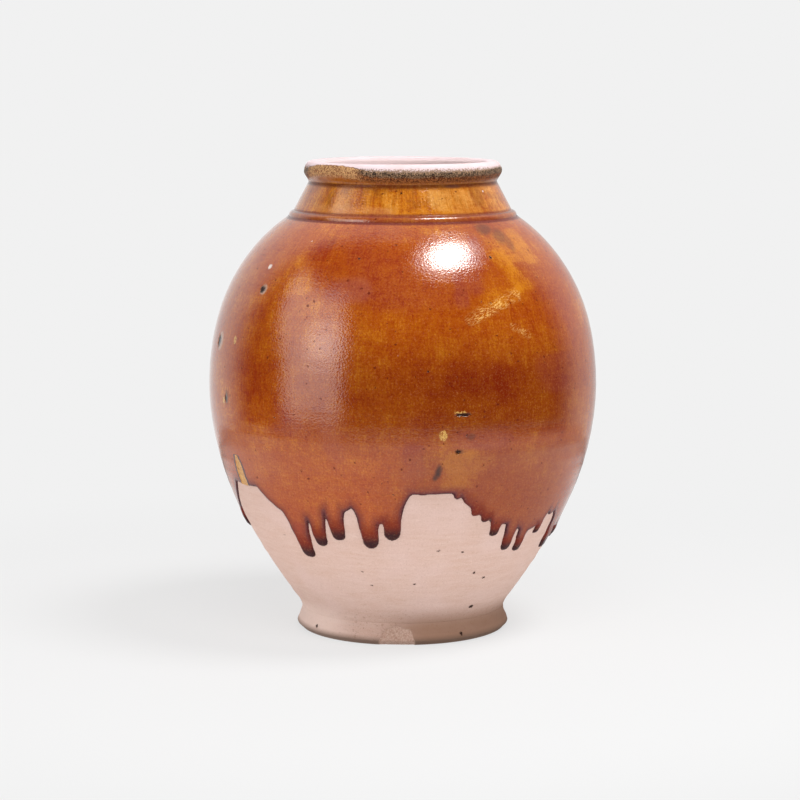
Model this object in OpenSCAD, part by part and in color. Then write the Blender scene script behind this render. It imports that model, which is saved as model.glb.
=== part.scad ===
// Glazed storage jar, thrown and luted together from separate pieces of clay.
// The origin is the centre of the standing ring's underside, +Z is up, and -Y is the front.
// Every size is in millimetres and every angle in degrees. Angles round the jar start
// at the front and grow towards +X.

/* [Foot] */
// Outer radius of the foot ring at its widest, just above the bevel
foot_radius = 69.5; // [66.5:0.5:74]
// Bevel round the foot ring's lower edge
foot_bevel = 3; // [1:0.5:4]
// Radius of the hollow inside the foot ring
foot_hollow_radius = 53; // [46:0.5:56]
// Depth of the recess under the floor
foot_recess = 6; // [4:0.5:9]
// Thickness of the floor disc
floor_thickness = 8; // [6:0.5:12]
// Radius of the floor disc
floor_radius = 60; // [58:0.5:62]
// Outer radius of the waist, where the lower wall stands on the foot ring
waist_radius = 65; // [63.5:0.5:68]
// Width of the spall knocked out of the foot ring
chip_width = 28; // [16:1:34]
// Height of the spall up the foot ring
chip_height = 12.5; // [8:0.5:13]
// Where the spall sits round the foot
chip_angle = -4; // [-30:1:30]

/* [Body] */
// Thickness of the body's wall
wall = 7; // [5:0.5:9]
// Outer radius of the clay at the belly
belly_radius = 125.4; // [118:0.2:134]
// Height from the waist up to the belly seam
lower_height = 146.5; // [134:0.5:160]
// Height from the belly seam up to the neck seam
upper_height = 107.5; // [98:0.5:118]
// Outer radius of the shoulder at the neck seam
shoulder_radius = 75; // [73.5:0.5:80]
// Slope of the lower wall above the horizontal where it leaves the foot
waist_slope = 54; // [48:1:62]
// Slope of the shoulder above the horizontal where it meets the neck
shoulder_slope = 35; // [30:1:42]
// How far the lower wall holds its slope before it rounds
lower_fullness = 44; // [36:1:52]
// How far the lower wall stays upright under the belly
under_belly_fullness = 61.5; // [52:0.5:68]
// How far the upper wall stays upright over the belly
over_belly_fullness = 32; // [26:1:38]
// How far the shoulder holds its slope outside the neck
shoulder_fullness = 51; // [44:1:56]
// Width of the lower wall's thick base, which laps over the floor disc
base_width = 11.5; // [10.5:0.5:14]
// Depth of the V that keys the two body halves together
seam_depth = 3; // [2:0.5:4]

/* [Neck] */
// Outer radius of the neck at its foot
neck_foot_radius = 71.4; // [70:0.2:72.6]
// Height from the neck seam up to the neck's foot
neck_foot_rise = 2.8; // [2.2:0.2:4]
// Outer radius of the neck under the lip
neck_top_radius = 60.4; // [59.6:0.2:61.6]
// Height of the neck's cone
neck_height = 20.7; // [17:0.1:26]
// Thickness of the neck's wall
neck_wall = 6.2; // [5:0.2:6.8]
// How far the bead reaches up the neck and down the shoulder
bead_reach = 2.4; // [1.6:0.1:3]
// How far the bead stands proud
bead_height = 1.1; // [0.6:0.1:1.6]

/* [Lip] */
// Outer radius of the lip's roll
lip_radius = 63.7; // [62.6:0.1:67]
// Height of the lip from its seam to its top
lip_height = 13.5; // [12:0.5:17]
// Height of the roll's widest line below the top
lip_crown = 5.6; // [4.4:0.2:7]
// Radius of the mouth's bore
mouth_radius = 53; // [51:0.5:54]
// Rounding of the lip's inner edge
mouth_round = 2.5; // [1.5:0.5:3]
// Width of the flat land on top of the lip
land_width = 4; // [2.5:0.5:5]

/* [Glaze] */
// Thickness of the coat of glaze
glaze = 0.8; // [0.5:0.1:1.2]
// Height of the line that the coat stops at, before its lobes and runs
glaze_line = 106; // [98:1:116]
// How far below the lip's top the glaze was wiped off
wiped_band = 4.5; // [3:0.5:5.5]
// Length of the lip's circumference where the wiping missed the glaze
missed_length = 62; // [40:1:80]
// How far the missed glaze stays below the lip's land, where a lid would sit
missed_gap = 0.3; // [0.2:0.1:1]
// Where the missed glaze sits round the lip
missed_angle = -54; // [-80:1:-30]

/* [Hidden] */
$fn = 96;

clay = [0.80, 0.66, 0.58];
pale_clay = [0.88, 0.75, 0.70];
amber = [0.68, 0.30, 0.07];

// Heights of the seams, from the standing ring up
foot_height = foot_recess + floor_thickness;
belly_level = foot_height + lower_height;
shoulder_level = belly_level + upper_height;
neck_level = shoulder_level + neck_foot_rise;
lip_level = neck_level + neck_height;
top_level = lip_level + lip_height;
crown_level = top_level - lip_crown;
land_inner = mouth_radius + mouth_round;
land_outer = land_inner + land_width;

// Steps along each curve
wall_steps = 20;
shoulder_steps = 20;
bead_steps = 6;
flank_steps = 6;
crown_steps = 8;
round_steps = 5;
lobe_steps = 12;
tip_steps = 8;

// Broad lobes of the coat's lower edge: [angle, drop below the line, span in degrees]
lobes = [
    [-90, 34, 50], [-36, 22, 32], [-19, 12, 12], [-8, 22, 26], [38, 24, 42], [49, 31, 36],
    [61, 24, 13], [76, 36, 41], [106, 24, 40], [140, 18, 44], [172, 28, 40], [210, 20, 44],
    [243, 30, 40],
];

// Runs of glaze below the line: [angle, drop, width at the tip]
runs = [
    [-96, 44, 9], [-88, 40, 9], [-81, 37, 9], [-37.5, 47, 9.6], [-29.8, 37.5, 8.6],
    [-22.4, 32.5, 9], [-11.2, 37, 9.6], [-3.6, 31, 9.6], [17, 4, 5], [20.8, 7.5, 6],
    [23.9, 16, 6.5], [28, 21, 5.6], [32.8, 31.5, 6.6], [40.4, 42.5, 7], [47.2, 44.5, 6.4],
    [55.3, 35, 5.4], [69.5, 48.5, 9], [79, 43, 7], [87, 47, 8.4], [97, 33, 7], [108, 38, 8],
    [117, 44, 9], [127, 27, 7], [146, 34, 8], [156, 40, 7], [165, 50, 9.4], [174, 42, 8],
    [183, 38, 8.6], [201, 29, 7], [210, 36, 9], [219, 27, 7], [233, 40, 8.4], [241, 51, 9],
    [250, 41, 8],
];
// How fast a run widens above its tip
run_flare = 0.09;

// Point at t of the cubic curve with those four control points
function curve_at(p, t) =
    pow(1 - t, 3) * p[0] + 3 * pow(1 - t, 2) * t * p[1] + 3 * (1 - t) * t * t * p[2]
    + pow(t, 3) * p[3];

// Points along a cubic curve, with or without its first one
function curve(p, steps, first = 0) = [for (i = [first:steps]) curve_at(p, i / steps)];

// Points along an arc of an ellipse round a centre, from one angle to another
function arc(centre, rx, rz, from, to, steps, first = 0) =
    [for (i = [first:steps])
        let (a = from + (to - from) * i / steps) centre + [rx * cos(a), rz * sin(a)]];

function unit(v) = v / norm(v);

// Right-hand normal of the way from a to b: outwards on a path that climbs the outside
function side(a, b) = let (h = unit(b - a)) [h[1], -h[0]];

// Path shifted sideways by d, with mitred corners
function shifted(p, d) =
    let (last = len(p) - 1)
    [for (i = [0:last])
        let (before = side(p[max(i - 1, 0)], p[max(i, 1)]),
             after = side(p[min(i, last - 1)], p[min(i + 1, last)]))
        p[i] + d * (before + after) / (1 + before * after)];

function reversed(p) = [for (i = [len(p) - 1:-1:0]) p[i]];
function stretch(p, a, b) = [for (i = [a:b]) p[i]];

// Outside of the body, from the waist to the neck seam
waist = [waist_radius, foot_height];
belly = [belly_radius, belly_level];
shoulder = [shoulder_radius, shoulder_level];
lower_curve = [
    waist,
    waist + lower_fullness * [cos(waist_slope), sin(waist_slope)],
    belly - [0, under_belly_fullness],
    belly,
];
upper_curve = [
    belly,
    belly + [0, over_belly_fullness],
    shoulder + shoulder_fullness * [cos(shoulder_slope), -sin(shoulder_slope)],
    shoulder,
];
body_outside = concat(curve(lower_curve, wall_steps), curve(upper_curve, shoulder_steps, 1));
body_inside = shifted(body_outside, -wall);
belly_step = wall_steps;
neck_step = wall_steps + shoulder_steps;
belly_key = [belly_radius - wall / 2, belly_level - seam_depth];

// Corners of the neck
neck_foot = [neck_foot_radius, neck_level];
neck_top = [neck_top_radius, lip_level];
bead_low = neck_foot + bead_reach * unit(shoulder - neck_foot);
bead_high = neck_foot + bead_reach * unit(neck_top - neck_foot);
// The bead's curve rises half as far as the point that it bends towards
bead_bulge = (bead_low + bead_high) / 2 + 2 * bead_height * side(bead_low, bead_high);
bead_outside = [for (i = [0:bead_steps])
    let (t = i / bead_steps)
    pow(1 - t, 2) * bead_low + 2 * t * (1 - t) * bead_bulge + t * t * bead_high];

// Outside of the lip, from its seam to the outer edge of its land
crown = [lip_radius, crown_level];
// How far the lip's flank stays upright at its seam and under its widest line
flank_rise = 3;
flank_curve = [neck_top, neck_top + [0, flank_rise], crown - [0, flank_rise], crown];
lip_outside = concat(
    curve(flank_curve, flank_steps),
    arc([land_outer, crown_level], lip_radius - land_outer, lip_crown, 0, 90, crown_steps, 1));

// The whole outside that glaze can lie on, and its radius at the glaze line
glazed_outside = concat(body_outside, bead_outside, lip_outside);
line_radius = lookup(glaze_line, [for (p = body_outside) [p[1], p[0]]]);
// How far the lobes and runs reach up into the coat, and how far inside the line they start
overlap = 3;
skirt_depth = 30;
skirt_start = line_radius - skirt_depth;

module turned(outline) {
    rotate_extrude() polygon(outline);
}

// Round bar laid along the foot ring's sloping flank, sunk in until its bite is as wide
// and as high as the spall
module spall() {
    bite = foot_radius - sqrt(foot_radius * foot_radius - chip_width * chip_width / 4);
    bar_radius = chip_height * chip_height / (8 * bite) + bite / 2;
    lean = atan2(foot_radius - waist_radius, foot_height - foot_bevel);
    rotate([0, 0, chip_angle])
        translate([0, -foot_radius + chip_height / 2 * sin(lean), chip_height / 2])
            rotate([-lean, 0, 0])
                translate([0, bite - bar_radius, 0])
                    rotate([0, 90, 0]) cylinder(r = bar_radius, h = 2 * chip_width, center = true);
}

module foot_ring() {
    color(clay) difference() {
        turned([
            [foot_hollow_radius, 0],
            [foot_radius - foot_bevel, 0],
            [foot_radius, foot_bevel],
            waist,
            [floor_radius, foot_height],
            [floor_radius, foot_recess],
            [foot_hollow_radius, foot_recess],
        ]);
        spall();
    }
}

module floor_disc() {
    color(clay) translate([0, 0, foot_recess]) cylinder(r = floor_radius, h = floor_thickness);
}

module lower_wall() {
    base_corner = [waist_radius - base_width, foot_height];
    color(clay) turned(concat(
        stretch(body_outside, 0, belly_step),
        [belly_key],
        reversed(stretch(body_inside, 1, belly_step)),
        [base_corner]));
}

module upper_wall() {
    color(clay) turned(concat(
        stretch(body_outside, belly_step, neck_step),
        reversed(stretch(body_inside, belly_step, neck_step)),
        [belly_key]));
}

module neck_bead() {
    color(clay) turned(concat([neck_foot], bead_outside));
}

module neck_collar() {
    color(clay) turned([
        body_inside[neck_step],
        shoulder,
        neck_foot,
        neck_top,
        neck_top - [neck_wall, 0],
        neck_foot - [neck_wall, 0],
    ]);
}

module lip_roll() {
    inner_edge = arc([land_inner, top_level - mouth_round], mouth_round, mouth_round,
        90, 180, round_steps);
    color(pale_clay) turned(concat(lip_outside, inner_edge, [[mouth_radius, lip_level]]));
}

// A flat outline set upright at that angle and distance from the axis, and pushed outwards
module outward(angle, start) {
    rotate([0, 0, angle]) translate([0, -start, 0])
        rotate([90, 0, 0]) linear_extrude(belly_radius) children();
}

// Outline of a broad lobe: a parabola that hangs from the glaze line
module lobe(drop, span) {
    half_width = line_radius * sin(span / 2);
    reach = sqrt(1 + overlap / drop);
    polygon([for (i = [0:lobe_steps])
        let (u = reach * (2 * i / lobe_steps - 1))
        [u * half_width, glaze_line - drop * (1 - u * u)]]);
}

// Outline of a run of glaze, which widens upwards from a round tip
module run(drop, width) {
    tip = glaze_line - drop + width / 2;
    top = glaze_line + overlap;
    half_top = width / 2 + run_flare * (top - tip);
    polygon(concat(
        arc([0, tip], width / 2, width / 2, -180, 0, tip_steps),
        [[half_top, top], [-half_top, top]]));
}

// What keeps the glaze off the clay below the line, round the lobes and runs
module bare_foot() {
    difference() {
        cylinder(r = belly_radius + 2 * glaze, h = glaze_line);
        for (l = lobes) outward(l[0], skirt_start) lobe(l[1], l[2]);
        for (r = runs) outward(r[0], skirt_start) run(r[1], r[2]);
    }
}

// What was wiped off the lip, but for the stretch that the wiping missed
module wiped_lip() {
    wiped_level = top_level - wiped_band;
    difference() {
        translate([0, 0, wiped_level]) cylinder(r = belly_radius, h = 2 * wiped_band);
        outward(missed_angle, mouth_radius / 2)
            translate([-missed_length / 2, wiped_level - overlap])
                square([missed_length, wiped_band + overlap - missed_gap]);
    }
}

module glaze_coat() {
    color(amber) difference() {
        turned(concat(shifted(glazed_outside, glaze), reversed(glazed_outside)));
        bare_foot();
        wiped_lip();
    }
}

foot_ring();
floor_disc();
lower_wall();
upper_wall();
neck_bead();
neck_collar();
lip_roll();
glaze_coat();
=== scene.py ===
"""Glazed storage jar: its shown surfaces, their materials, the light and the camera.

Lengths in the tables are in millimetres and angles in degrees. An angle is measured round
the jar from the front (-Y) towards +X, and a height from the ground up.
"""
import math

import bpy
import numpy as np
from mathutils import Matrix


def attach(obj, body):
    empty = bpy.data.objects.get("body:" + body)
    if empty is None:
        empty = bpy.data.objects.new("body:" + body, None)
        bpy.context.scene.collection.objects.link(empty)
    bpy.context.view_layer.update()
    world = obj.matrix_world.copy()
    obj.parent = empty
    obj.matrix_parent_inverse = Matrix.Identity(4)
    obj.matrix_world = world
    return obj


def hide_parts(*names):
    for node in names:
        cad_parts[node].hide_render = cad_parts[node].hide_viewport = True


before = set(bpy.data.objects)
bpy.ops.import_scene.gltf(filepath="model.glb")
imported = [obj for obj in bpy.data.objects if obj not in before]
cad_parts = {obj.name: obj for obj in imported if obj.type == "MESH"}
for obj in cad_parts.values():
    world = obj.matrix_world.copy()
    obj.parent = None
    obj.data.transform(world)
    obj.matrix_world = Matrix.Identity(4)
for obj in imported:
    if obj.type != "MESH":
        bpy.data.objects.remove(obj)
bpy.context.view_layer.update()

MM = 0.001

# Sizes of the clay, the same as the solids'
FOOT_RADIUS = 69.5
FOOT_BEVEL = 3.0
FOOT_HOLLOW_RADIUS = 53.0
FOOT_RECESS = 6.0
FLOOR_RADIUS = 60.0
FOOT_HEIGHT = 14.0
WAIST_RADIUS = 65.0
BELLY = (125.4, 160.5)
SHOULDER = (75.0, 268.0)
WALL = 7.0
BASE_WIDTH = 11.5
WAIST_PULL = 44.0
WAIST_SLOPE = math.radians(54)
UNDER_BELLY_PULL = 61.5
OVER_BELLY_PULL = 32.0
SHOULDER_PULL = 51.0
SHOULDER_SLOPE = math.radians(35)
NECK_FOOT = (71.4, 270.8)
NECK_TOP = (60.4, 291.5)
NECK_WALL = 6.2
BEAD_REACH = 2.4
BEAD_HEIGHT = 1.1
LIP_RADIUS = 63.7
CROWN_LEVEL = 299.4
TOP = 305.0
LAND_OUTER = 59.5
MOUTH_RADIUS = 53.0
MOUTH_ROUND = 2.5

# The spall at the front of the foot: angle, half width, height and depth
CHIP = (-3.2, 12.5, 12.6, 1.6)

# Broad lobes of the glaze's lower edge: angle, drop below the line, span
GLAZE_LINE = 106.0
LINE_RADIUS = 116.6
LOBES = [
    (-90, 34, 50), (-60, 3.8, 26), (-36, 20, 36), (-19, 12, 12), (-8.5, 19.5, 22), (38, 24, 42),
    (49, 31, 36),
    (61, 24, 13), (76, 36, 41), (106, 24, 40), (140, 18, 44), (172, 28, 40), (210, 20, 44),
    (243, 30, 40),
]
# Runs of glaze: angle, drop below the line, width at the tip
RUNS = [
    (-96, 44, 9), (-88, 40, 9), (-81, 37, 9), (-37.5, 47, 9.6), (-29.8, 37.5, 8.6),
    (-22.4, 32.5, 9), (-11.2, 37, 9.6), (-3.6, 31, 9.6), (17, 4, 5), (20.8, 7.5, 6),
    (23.9, 16, 6.5), (28, 21, 5.6), (32.8, 31.5, 6.6), (40.4, 42.5, 7), (47.2, 44.5, 6.4),
    (55.3, 35, 5.4), (69.5, 48.5, 9), (79, 43, 7), (87, 47, 8.4), (97, 33, 7), (108, 38, 8),
    (117, 44, 9), (127, 27, 7), (146, 34, 8), (156, 40, 7), (165, 50, 9.4), (174, 42, 8),
    (183, 38, 8.6), (201, 29, 7), (210, 36, 9), (219, 27, 7), (233, 40, 8.4), (241, 51, 9),
    (250, 41, 8),
]
RUN_FLARE = 0.09
# Patches of the glaze over the body: angle, height, half width, half height, tone (yellow
# above 0 and red below), haze
PATCHES = [
    (0, 240, 44, 18, -0.17, 0.10), (-36, 238, 9, 9, 0.40, 0), (-33, 250, 6, 7, -0.30, 0),
    (-19, 231, 10, 7, -0.1, 0.4), (-24, 221, 14, 6, 0.12, 0.1), (50, 252, 13, 9, 0.40, 0),
    (40, 240, 14, 9, 0.38, 0), (33, 228, 13, 8, 0.32, 0), (31, 253, 5, 9, -0.22, 0.22),
    (24.5, 241, 5, 8, -0.22, 0.22), (19, 230, 5, 8, -0.2, 0.2), (36, 205, 20, 14, 0.02, 0),
    (-50, 178, 14, 26, -0.08, 0), (14, 178, 34, 12, -0.22, 0), (-6, 166, 26, 12, -0.16, 0),
    (50, 176, 18, 11, -0.24, 0.15), (17.5, 121, 12, 13, 0.50, -0.1), (40, 124, 8, 8, 0.22, 0),
    (-11, 124, 10, 7, 0.30, 0), (-20, 138, 7, 14, 0, 0.2), (3, 126, 6, 20, -0.30, 0.15),
    (24, 141, 22, 7, -0.16, 0.3), (-45, 130, 12, 18, 0.1, 0.15), (-70, 225, 20, 12, 0.1, 0.2),
    (-2, 212, 16, 10, 0.20, 0), (8, 192, 12, 8, 0.06, 0), (34, 174, 17, 15, -0.20, 0),
    (-50, 212, 10, 9, -0.18, 0.05), (-12, 186, 8, 20, 0.10, 0), (-34, 150, 12, 8, -0.14, 0.15),
    (62, 208, 10, 18, -0.16, 0.15), (-37.5, 75, 6, 13, -0.8, 0), (-7, 282, 7, 6, 0.3, 0), (22, 284, 9, 7, 0.42, 0.15),
    (38, 282, 8, 7, 0.40, 0.25), (60, 281, 14, 8, 0.25, 0), (-30, 277, 22, 3.5, 0.35, 0.45),
    (-48, 172, 14, 17, -0.18, 0), (-30, 205, 14, 26, 0.10, 0), (95, 205, 34, 20, 0.3, 0),
    (120, 240, 40, 14, -0.3, 0.1), (140, 150, 30, 24, -0.3, 0.2), (170, 200, 40, 22, 0.25, 0),
    (200, 128, 16, 12, 0.4, 0), (225, 235, 36, 15, -0.35, 0.1), (250, 170, 30, 22, 0.2, 0.1),
]
# Height of the glaze's upper edge on the lip round the jar, by angle
LIP_EDGE = [
    (-180, 300.6), (-140, 300.2), (-110, 300.6), (-92, 299.2), (-85, 298.9), (-73, 301.4),
    (-66, 302.8), (-60, 303.6), (-50, 304.2), (-38, 303.9), (-28, 302.7), (-23, 301.5),
    (-17, 301.0), (-6, 300.4), (8, 300.3), (22, 300.6), (40, 300.6), (54, 300.7), (70, 301.4),
    (90, 300.9), (130, 300.3), (180, 300.6),
]

# Grey smoke marks: angle, height, half width, half height, strength
SMOKE = [
    (39.1, 264.0, 4.5, 3.2, 0.8), (44.7, 259.5, 4.0, 4.0, 0.7), (47.5, 255.0, 2.5, 4.0, 0.5),
    (10.5, 122.3, 1.5, 2.2, 1.2), (9.8, 119.7, 1.7, 2.4, 1.4), (9.1, 117.0, 1.5, 2.0, 1.2),
    (19.6, 142.6, 2.4, 1.6, 0.7), (15.8, 133.0, 2.6, 1.5, 0.9), (-62.3, 158.0, 2.0, 3.6, 0.9),
    (30.0, 290.5, 5.0, 1.2, 0.7), (46.0, 284.0, 5.5, 6.0, 0.35), (-30, 257.0, 2.2, 3, 0.2),
    (150, 262.0, 7.0, 4.0, 0.6), (201, 150.0, 4.0, 3.0, 0.7),
]
# Scratched strips across the shoulder: angle and height of both ends, half width
SCRATCHES = [(20.6, 213.2, 38.6, 226.0, 3.2), (34.6, 207.6, 39.8, 201.8, 2.0)]

# Thickness of the glaze, how far it dips under the clay outside its edge, and the seams
# between its three shown pieces
COAT = 0.8
DIP = 0.35
SKIRT_LOW = 50.0
SKIRT_TOP = 118.0
BODY_TOP = 269.3

FRONT = 105.0
DENSITY = 1.0


# Curves and profiles


def cubic(a, b, c, d, count=240):
    """Points on a cubic curve from a to d, pulled towards b and c.

    With t from 0 to 1 a point is a(1-t)^3 + 3b t(1-t)^2 + 3c t^2(1-t) + d t^3.
    """
    t = np.linspace(0, 1, count)[:, None]
    a, b, c, d = (np.array(p, float) for p in (a, b, c, d))
    return a * (1 - t) ** 3 + 3 * b * t * (1 - t) ** 2 + 3 * c * t**2 * (1 - t) + d * t**3


def towards(start, end, length):
    """The point that lies that far from start on the way to end."""
    start = np.array(start, float)
    way = np.array(end, float) - start
    return start + way * length / np.hypot(*way)


def respaced(points, step):
    """The same open line with points at even spacing, its two ends kept."""
    points = np.array(points, float)
    run = np.concatenate([[0], np.cumsum(np.hypot(*np.diff(points, axis=0).T))])
    count = max(2, int(round(run[-1] / step)) + 1)
    at = np.linspace(0, run[-1], count)
    return np.stack([np.interp(at, run, points[:, k]) for k in (0, 1)], 1)


def lower_curve():
    """Outside of the lower wall, from the waist to the belly."""
    waist = np.array([WAIST_RADIUS, FOOT_HEIGHT])
    pull = waist + WAIST_PULL * np.array([math.cos(WAIST_SLOPE), math.sin(WAIST_SLOPE)])
    return cubic(waist, pull, (BELLY[0], BELLY[1] - UNDER_BELLY_PULL), BELLY)


def upper_curve():
    """Outside of the upper wall, from the belly to the neck seam."""
    slope = np.array([math.cos(SHOULDER_SLOPE), -math.sin(SHOULDER_SLOPE)])
    pull = np.array(SHOULDER) + SHOULDER_PULL * slope
    return cubic(BELLY, (BELLY[0], BELLY[1] + OVER_BELLY_PULL), pull, SHOULDER)


def bead_curve():
    """Outside of the coil at the neck's foot: a bulge between a point on the shoulder side
    and one on the neck side, whose middle stands proud by the bead's height."""
    low = towards(NECK_FOOT, SHOULDER, BEAD_REACH)
    high = towards(NECK_FOOT, NECK_TOP, BEAD_REACH)
    out = np.array([high[1] - low[1], low[0] - high[0]])
    pull = (low + high) / 2 + 2 * BEAD_HEIGHT * out / np.hypot(*out)
    t = np.linspace(0, 1, 60)[:, None]
    return low * (1 - t) ** 2 + 2 * pull * t * (1 - t) + high * t**2


def lip_curve():
    """Outside of the lip: an S-shaped flank, then a quarter of an ellipse to its land."""
    crown = (LIP_RADIUS, CROWN_LEVEL)
    flank = cubic(NECK_TOP, (NECK_TOP[0], NECK_TOP[1] + 3), (crown[0], crown[1] - 3), crown)
    turn = np.linspace(0, math.pi / 2, 80)[1:]
    roll = np.stack(
        [
            LAND_OUTER + (LIP_RADIUS - LAND_OUTER) * np.cos(turn),
            CROWN_LEVEL + (TOP - CROWN_LEVEL) * np.sin(turn),
        ],
        1,
    )
    return np.concatenate([flank, roll])


def normals(points, reach=2):
    """Unit right-hand normals of a line: outwards where it climbs the outside."""
    ahead = np.concatenate([points[reach:], np.repeat(points[-1:], reach, 0)])
    behind = np.concatenate([np.repeat(points[:1], reach, 0), points[:-reach]])
    way = ahead - behind
    out = np.stack([way[:, 1], -way[:, 0]], 1)
    return out / np.maximum(np.hypot(*out.T), 1e-9)[:, None]


def smoothed(values, width):
    """Values along a line, averaged with a bell-shaped weight of that many points."""
    reach = int(3 * width)
    bell = np.exp(-0.5 * (np.arange(-reach, reach + 1) / width) ** 2)
    padded = np.concatenate([np.repeat(values[:1], reach), values, np.repeat(values[-1:], reach)])
    return np.convolve(padded, bell / bell.sum(), "valid")


STEP = 0.2
OUTSIDE = respaced(np.concatenate([lower_curve(), upper_curve(), bead_curve(), lip_curve()]), STEP)
OUT_WAY = np.arange(len(OUTSIDE)) * STEP
OUT_NORMAL = normals(OUTSIDE, 4)
# The glaze rounds off the clay's corners
SOFT_OUTSIDE = np.stack([smoothed(OUTSIDE[:, k], 2.2) for k in (0, 1)], 1)
SOFT_OUTSIDE[-20:] = OUTSIDE[-20:]


def way_at(height):
    """How far along the outside line that height is."""
    return np.interp(height, OUTSIDE[:, 1], OUT_WAY)


# Fields over the surface


def waves(angle, height, seed, count, longest, shortest, size):
    """A spiral relief like a thrower's rings: a sum of seeded waves up the wall.

    Each wave has its own length between the two given, turns round the jar a whole number of
    times, and is as deep as size times its share of the longest length.
    """
    random = np.random.default_rng(seed)
    total = np.zeros(np.broadcast(angle, height).shape)
    for _ in range(count):
        length = math.exp(random.uniform(math.log(shortest), math.log(longest)))
        turns = random.integers(-1, 3)
        phase = random.uniform(0, 2 * math.pi)
        depth = size * length / longest
        total += depth * np.sin(2 * math.pi * height / length + turns * angle + phase)
    return total


def clay_relief(angle, height):
    """How far the thrown clay stands out from its plain form, in millimetres.

    The rings were smoothed off under the glaze, so they are deepest on the bare clay.
    """
    fade = np.clip((height - 16) / 6, 0, 1) * np.clip((BODY_TOP - height) / 6, 0, 1)
    fillet = 1.1 * np.exp(-(((height - FOOT_HEIGHT) / 2.6) ** 2))
    bare = 0.22 + 0.78 * np.clip((125 - height) / 25, 0, 1)
    slow = 0.05 * np.sin(height / 9.0 + 2 * angle) + 0.05 * np.sin(height / 14.0 - angle + 1)
    return fillet + fade * (bare * waves(angle, height, 5, 12, 13, 2.4, 0.045) + slow)


def lateral(angle, centre, radius):
    """Sideways distance from the vertical plane at that angle, far off round the back."""
    turn = angle - np.radians(centre)
    across = radius * np.sin(turn)
    return np.where(np.cos(turn) > 0, across, 1e3)


def lobe_field(angle, height, centre, drop, span):
    """Distance inside a broad lobe that hangs from the glaze line as a parabola.

    With u the sideways distance over the half width, its edge is at line - drop(1 - u^2).
    """
    half = LINE_RADIUS * math.sin(math.radians(span / 2))
    u = lateral(angle, centre, LINE_RADIUS) / half
    edge = GLAZE_LINE - drop * (1 - u**2)
    lean = np.sqrt(1 + (2 * drop * np.minimum(abs(u), 1.5) / half) ** 2)
    return np.maximum((height - edge) / lean, -40)


def run_field(angle, height, radius, index):
    """Distance inside a run with a round tip that widens upwards and wanders a little."""
    centre, drop, width = RUNS[index]
    tip = GLAZE_LINE - drop + width / 2
    across = lateral(angle, centre, radius)
    across = across + 0.3 * np.sin(height / 6.1 + 2.4 * index) * np.clip((height - tip) / 12, 0, 1)
    above = np.maximum(height - tip, 0)
    below = np.minimum(height - tip, 0)
    return width / 2 + RUN_FLARE * above + 0.0045 * above**2 - np.hypot(across, below)


def skirt_fields(angle, height, radius):
    """Distance inside the glaze's edge, where the runs swell, and how far down their tips.

    The body above the line, the lobes and the runs are joined by a soft maximum: k times the
    logarithm of the sum of exp(field / k).
    """
    k = 0.7
    total = np.exp(np.minimum(height - GLAZE_LINE, 14) / k)
    for centre, drop, span in LOBES:
        total = total + np.exp(np.minimum(lobe_field(angle, height, centre, drop, span), 14) / k)
    bulb = np.zeros_like(total)
    tips = np.zeros_like(total)
    for index, (centre, drop, width) in enumerate(RUNS):
        field = run_field(angle, height, radius, index)
        total = total + np.exp(np.clip(field, -30, 14) / k)
        strong = min(1, drop / 25)
        middle = GLAZE_LINE - drop + 0.6 * width
        across = lateral(angle, centre, radius)
        away = np.hypot(across, (height - middle) * 0.8)
        bulb = np.maximum(bulb, strong * np.exp(-((away / (0.75 * width)) ** 2)))
        sunk = 1 - (height - GLAZE_LINE + drop) / (2.2 * width)
        beside = np.exp(-((across / width) ** 6))
        tips = np.maximum(tips, strong * beside * np.clip(sunk, 0, 1))
    ripple = 0.22 * np.sin(31 * angle + height / 3.0) + 0.16 * np.sin(73 * angle - height / 1.7)
    ripple = ripple + 0.3 * np.sin(47 * angle) * np.sin(height / 4.2) * (np.sin(angle * 2 - 0.6) > 0)
    return k * np.log(total) + ripple * 0.7, bulb, tips


def edge_profile(inside, rise, full):
    """Thickness from the distance inside an edge: a quarter round up to full, reached at
    rise, and a shallow dip under the clay outside it."""
    share = np.clip(inside / rise, 0, 1)
    within = full * np.sqrt(np.maximum(1 - (1 - share) ** 2, 0))
    return np.where(inside > 0, within, -DIP * np.clip(-inside / 0.6, 0, 1))


# Building meshes


def columns(front, back):
    """Angles of the columns, closer together over the front than at the back."""
    edge = math.radians(FRONT)
    ahead = np.linspace(-edge, edge, int(front * DENSITY), endpoint=False)
    behind = np.linspace(edge, 2 * math.pi - edge, int(back * DENSITY), endpoint=False)
    return np.concatenate([ahead, behind])


def placed(radius, height, angle):
    """Positions in metres from radius, height and angle."""
    radius, height, angle = np.broadcast_arrays(radius, height, angle)
    return np.stack([radius * np.sin(angle), -radius * np.cos(angle), height], -1) * MM


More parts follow.
